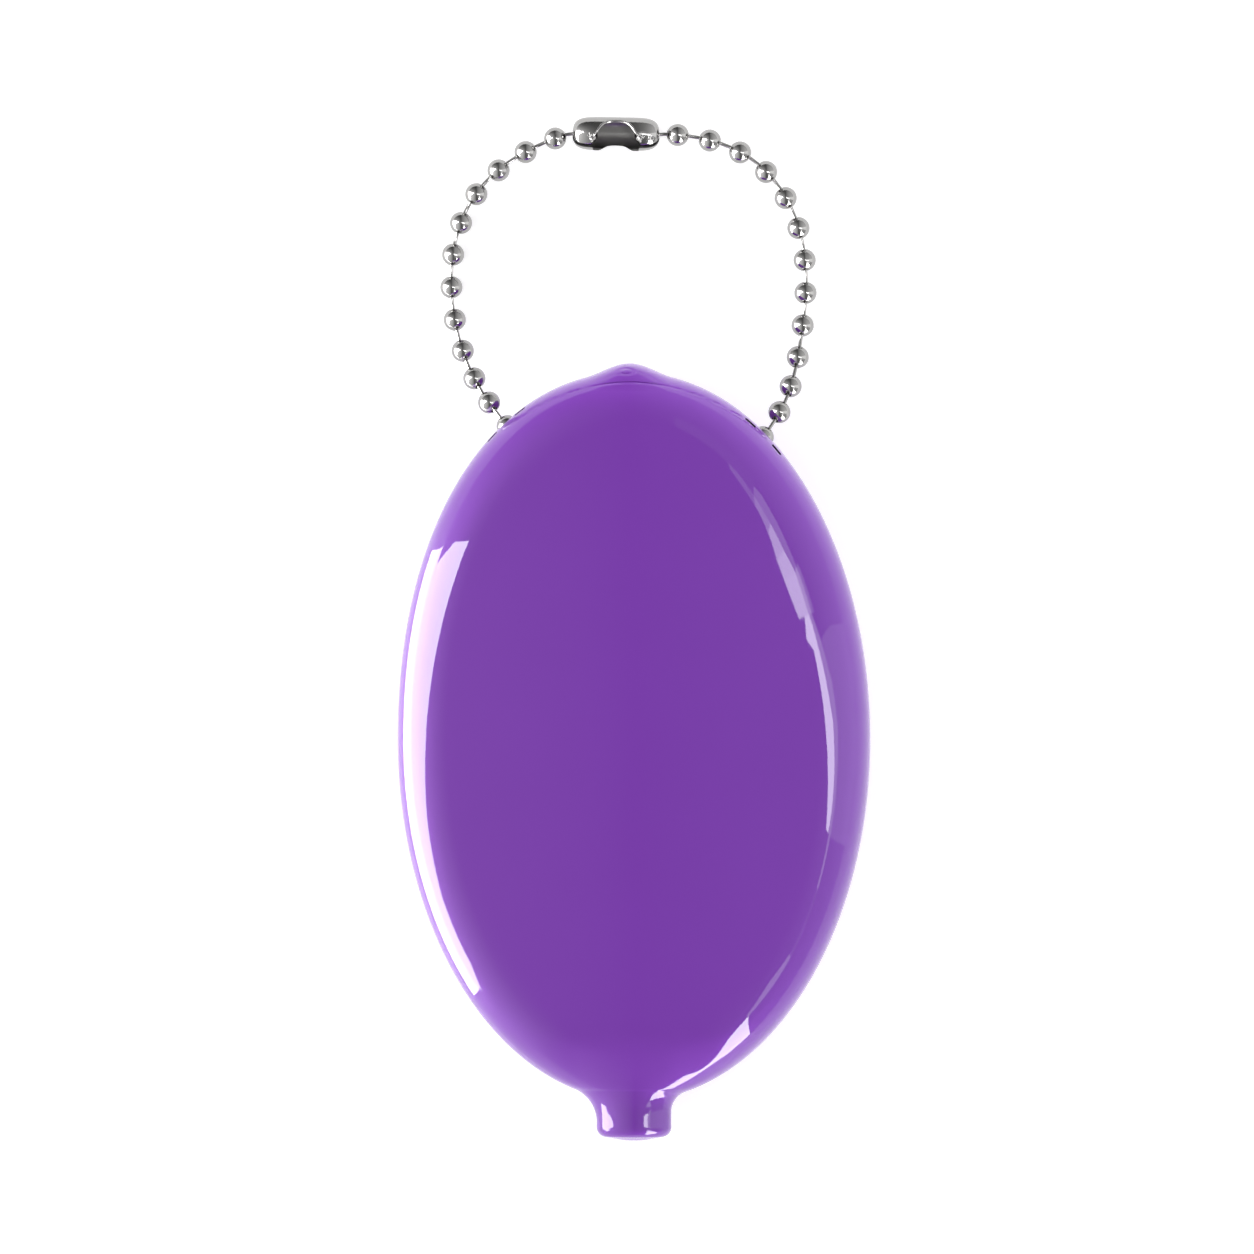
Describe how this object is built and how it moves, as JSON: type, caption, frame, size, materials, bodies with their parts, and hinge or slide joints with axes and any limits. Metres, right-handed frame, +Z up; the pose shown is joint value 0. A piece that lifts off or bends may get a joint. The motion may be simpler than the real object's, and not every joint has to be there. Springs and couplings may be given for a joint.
{
  "type": "squeeze coin purse",
  "caption": "Oval squeeze coin purse of glossy vinyl with a slit back, a nib, a stub and a ball-chain loop closed by a tube clasp.",
  "frame": {"origin": "under the middle of the whole part, on the surface it lies on", "axes": "+X across the purse to its right seen from the front, +Y along it from the stub to the chain, +Z up out of the front face"},
  "size_m": [0.0504, 0.1093, 0.0132],
  "materials": {
    "vinyl": "glossy moulded vinyl",
    "ball_steel": "bright nickel plating",
    "pin_steel": "bright nickel plating",
    "clasp_sheet": "bright nickel plating"
  },
  "bodies": {
    "purse": {"purse_shell": "vinyl", "inner_balls": "ball_steel", "inner_pins": "pin_steel", "left_ball_00": "ball_steel", "right_ball_00": "ball_steel"},
    "left_lip": {"left_lip": "vinyl"},
    "right_lip": {"right_lip": "vinyl"},
    "pins_00": {"left_pin_00": "pin_steel", "right_pin_00": "pin_steel"},
    "balls_01": {"left_ball_01": "ball_steel", "right_ball_01": "ball_steel"},
    "pins_01": {"left_pin_01": "pin_steel", "right_pin_01": "pin_steel"},
    "balls_02": {"left_ball_02": "ball_steel", "right_ball_02": "ball_steel"},
    "pins_02": {"left_pin_02": "pin_steel", "right_pin_02": "pin_steel"},
    "balls_03": {"left_ball_03": "ball_steel", "right_ball_03": "ball_steel"},
    "pins_03": {"left_pin_03": "pin_steel", "right_pin_03": "pin_steel"},
    "balls_04": {"left_ball_04": "ball_steel", "right_ball_04": "ball_steel"},
    "pins_04": {"left_pin_04": "pin_steel", "right_pin_04": "pin_steel"},
    "balls_05": {"left_ball_05": "ball_steel", "right_ball_05": "ball_steel"},
    "pins_05": {"left_pin_05": "pin_steel", "right_pin_05": "pin_steel"},
    "balls_06": {"left_ball_06": "ball_steel", "right_ball_06": "ball_steel"},
    "pins_06": {"left_pin_06": "pin_steel", "right_pin_06": "pin_steel"},
    "balls_07": {"left_ball_07": "ball_steel", "right_ball_07": "ball_steel"},
    "pins_07": {"left_pin_07": "pin_steel", "right_pin_07": "pin_steel"},
    "balls_08": {"left_ball_08": "ball_steel", "right_ball_08": "ball_steel"},
    "pins_08": {"left_pin_08": "pin_steel", "right_pin_08": "pin_steel"},
    "balls_09": {"left_ball_09": "ball_steel", "right_ball_09": "ball_steel"},
    "pins_09": {"left_pin_09": "pin_steel", "right_pin_09": "pin_steel"},
    "balls_10": {"left_ball_10": "ball_steel", "right_ball_10": "ball_steel"},
    "pins_10": {"left_pin_10": "pin_steel", "right_pin_10": "pin_steel"},
    "balls_11": {"left_ball_11": "ball_steel", "right_ball_11": "ball_steel"},
    "pins_11": {"left_end_pin": "pin_steel", "right_pin_11": "pin_steel"},
    "top_row": {"left_end_ball": "ball_steel", "right_ball_12": "ball_steel", "right_end_pin": "pin_steel", "right_end_ball": "ball_steel"},
    "clasp": {"clasp": "clasp_sheet"}
  },
  "joints": [
    {"name": "left_lip_open", "type": "hinge", "parent": "purse", "child": "left_lip", "pos_m": [-0.0186, -0.0119, 0], "axis": [0, 1, 0], "range_deg": [0, 50], "stiffness_Nm_per_rad": 0.02, "springref_deg": -5.73},
    {"name": "right_lip_open", "type": "hinge", "parent": "purse", "child": "right_lip", "pos_m": [0.0186, -0.0119, 0], "axis": [0, -1, 0], "range_deg": [0, 50], "stiffness_Nm_per_rad": 0.02, "springref_deg": -5.73},
    {"name": "row_00_pins_tilt", "type": "hinge", "parent": "purse", "child": "pins_00", "pos_m": [0.00011, 0.02179, 0.00594], "axis": [0.9992, -0.0399, 0], "range_deg": [-18, 18]},
    {"name": "row_01_balls_tilt", "type": "hinge", "parent": "pins_00", "child": "balls_01", "pos_m": [0.00007, 0.02273, 0.00547], "axis": [0.9993, -0.0363, 0], "range_deg": [-18, 18]},
    {"name": "row_01_pins_tilt", "type": "hinge", "parent": "balls_01", "child": "pins_01", "pos_m": [-0.00001, 0.02437, 0.00434], "axis": [-0.9995, 0.0306, 0], "range_deg": [-18, 18]},
    {"name": "row_02_balls_tilt", "type": "hinge", "parent": "pins_01", "child": "balls_02", "pos_m": [-0.00008, 0.02534, 0.00372], "axis": [-0.9996, 0.0275, 0], "range_deg": [-18, 18]},
    {"name": "row_02_pins_tilt", "type": "hinge", "parent": "balls_02", "child": "pins_02", "pos_m": [-0.00024, 0.02715, 0.00264], "axis": [0.9997, -0.0225, 0], "range_deg": [-18, 18]},
    {"name": "row_03_balls_tilt", "type": "hinge", "parent": "pins_02", "child": "balls_03", "pos_m": [-0.00033, 0.02825, 0.00217], "axis": [0.9998, -0.0204, 0], "range_deg": [-18, 18]},
    {"name": "row_03_pins_tilt", "type": "hinge", "parent": "balls_03", "child": "pins_03", "pos_m": [-0.00047, 0.03035, 0.00159], "axis": [-0.9998, 0.0177, 0], "range_deg": [-18, 18]},
    {"name": "row_04_balls_tilt", "type": "hinge", "parent": "pins_03", "child": "balls_04", "pos_m": [-0.00053, 0.03155, 0.00138], "axis": [-0.9999, 0.0168, 0], "range_deg": [-18, 18]},
    {"name": "row_04_pins_tilt", "type": "hinge", "parent": "balls_04", "child": "pins_04", "pos_m": [-0.00059, 0.03377, 0.00124], "axis": [0.9999, -0.016, 0], "range_deg": [-18, 18]},
    {"name": "row_05_balls_tilt", "type": "hinge", "parent": "pins_04", "child": "balls_05", "pos_m": [-0.0006, 0.03501, 0.0012], "axis": [0.9999, -0.0158, 0], "range_deg": [-18, 18]},
    {"name": "row_05_pins_tilt", "type": "hinge", "parent": "balls_05", "child": "pins_05", "pos_m": [-0.00058, 0.03726, 0.0012], "axis": [-0.9999, 0.0158, 0], "range_deg": [-18, 18]},
    {"name": "row_06_balls_tilt", "type": "hinge", "parent": "pins_05", "child": "balls_06", "pos_m": [-0.00056, 0.03851, 0.0012], "axis": [-0.9999, 0.0158, 0], "range_deg": [-18, 18]},
    {"name": "row_06_pins_tilt", "type": "hinge", "parent": "balls_06", "child": "pins_06", "pos_m": [-0.00052, 0.04074, 0.0012], "axis": [0.9999, -0.0158, 0], "range_deg": [-18, 18]},
    {"name": "row_07_balls_tilt", "type": "hinge", "parent": "pins_06", "child": "balls_07", "pos_m": [-0.00049, 0.04196, 0.0012], "axis": [0.9999, -0.0156, 0], "range_deg": [-18, 18]},
    {"name": "row_07_pins_tilt", "type": "hinge", "parent": "balls_07", "child": "pins_07", "pos_m": [-0.00042, 0.0441, 0.0012], "axis": [-0.9999, 0.0149, 0], "range_deg": [-18, 18]},
    {"name": "row_08_balls_tilt", "type": "hinge", "parent": "pins_07", "child": "balls_08", "pos_m": [-0.00037, 0.04522, 0.0012], "axis": [-0.9999, 0.014, 0], "range_deg": [-18, 18]},
    {"name": "row_08_pins_tilt", "type": "hinge", "parent": "balls_08", "child": "pins_08", "pos_m": [-0.00027, 0.04712, 0.0012], "axis": [0.9999, -0.0111, 0], "range_deg": [-18, 18]},
    {"name": "row_09_balls_tilt", "type": "hinge", "parent": "pins_08", "child": "balls_09", "pos_m": [-0.00022, 0.04808, 0.0012], "axis": [1, -0.0089, 0], "range_deg": [-18, 18]},
    {"name": "row_09_pins_tilt", "type": "hinge", "parent": "balls_09", "child": "pins_09", "pos_m": [-0.00014, 0.04959, 0.0012], "axis": [-1, 0.0035, 0], "range_deg": [-18, 18]},
    {"name": "row_10_balls_tilt", "type": "hinge", "parent": "pins_09", "child": "balls_10", "pos_m": [-0.00012, 0.05032, 0.0012], "axis": [-1, 0.0016, 0], "range_deg": [-18, 18]},
    {"name": "row_10_pins_tilt", "type": "hinge", "parent": "balls_10", "child": "pins_10", "pos_m": [-0.00012, 0.05139, 0.0012], "axis": [1, -0.002, 0], "range_deg": [-18, 18]},
    {"name": "row_11_balls_tilt", "type": "hinge", "parent": "pins_10", "child": "balls_11", "pos_m": [-0.00014, 0.05188, 0.00125], "axis": [1, -0.0053, -0.0058], "range_deg": [-18, 18]},
    {"name": "row_11_pins_tilt", "type": "hinge", "parent": "balls_11", "child": "pins_11", "pos_m": [-0.00019, 0.05255, 0.00145], "axis": [-0.9992, 0.0217, 0.0342], "range_deg": [-18, 18]},
    {"name": "row_12_balls_tilt", "type": "hinge", "parent": "pins_11", "child": "top_row", "pos_m": [-0.00019, 0.05273, 0.00155], "axis": [-0.9989, 0.0227, 0.0413], "range_deg": [-18, 18]},
    {"name": "clasp_roll", "type": "hinge", "parent": "top_row", "child": "clasp", "pos_m": [-0.00191, 0.0528, 0.0018], "axis": [0.9999, -0.017, 0], "continuous": true}
  ],
  "couplings": [
    {"joint": "right_lip_open", "follows": "left_lip_open", "ratio": 1}
  ]
}
